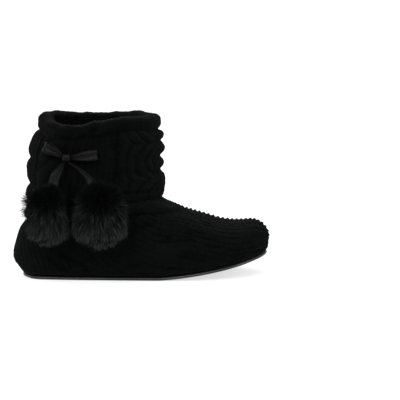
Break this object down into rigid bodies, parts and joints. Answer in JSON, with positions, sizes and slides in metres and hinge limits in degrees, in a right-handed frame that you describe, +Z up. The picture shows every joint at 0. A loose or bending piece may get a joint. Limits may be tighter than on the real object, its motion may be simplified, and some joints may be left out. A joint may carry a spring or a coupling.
{
  "type": "bootie slipper",
  "caption": "Right-foot knitted bootie slipper with a deep turned-down cuff, a ribbon bow and fur pompoms on its outer side, and a thin flat piped sole.",
  "frame": {"origin": "on the floor, under the middle of the sole's length, on the flat part of the outsole", "axes": "+X to the toe, +Y to the inner side of the foot, -Y to the outer side with the bow, +Z up"},
  "size_m": [0.2614, 0.1515, 0.1669],
  "materials": {
    "tread": "grey woven tread with rubber dots",
    "piping": "smooth glossy dark piping",
    "footbed": "brushed dark fleece",
    "foot_knit": "black chunky ribbed knit",
    "cuff_knit": "black chunky cable knit",
    "ribbon": "black satin ribbon",
    "fur": "long black fur with paler tips"
  },
  "bodies": {
    "root": {"outsole": "tread", "sole_binding": "piping", "insole": "footbed", "upper": "foot_knit", "cuff": "cuff_knit", "bow_knot": "ribbon", "bow_loop_back": "ribbon", "bow_loop_front": "ribbon", "tail_back": "ribbon", "tail_front": "ribbon", "pompom_back": "fur", "pompom_front": "fur"}
  },
  "joints": []
}
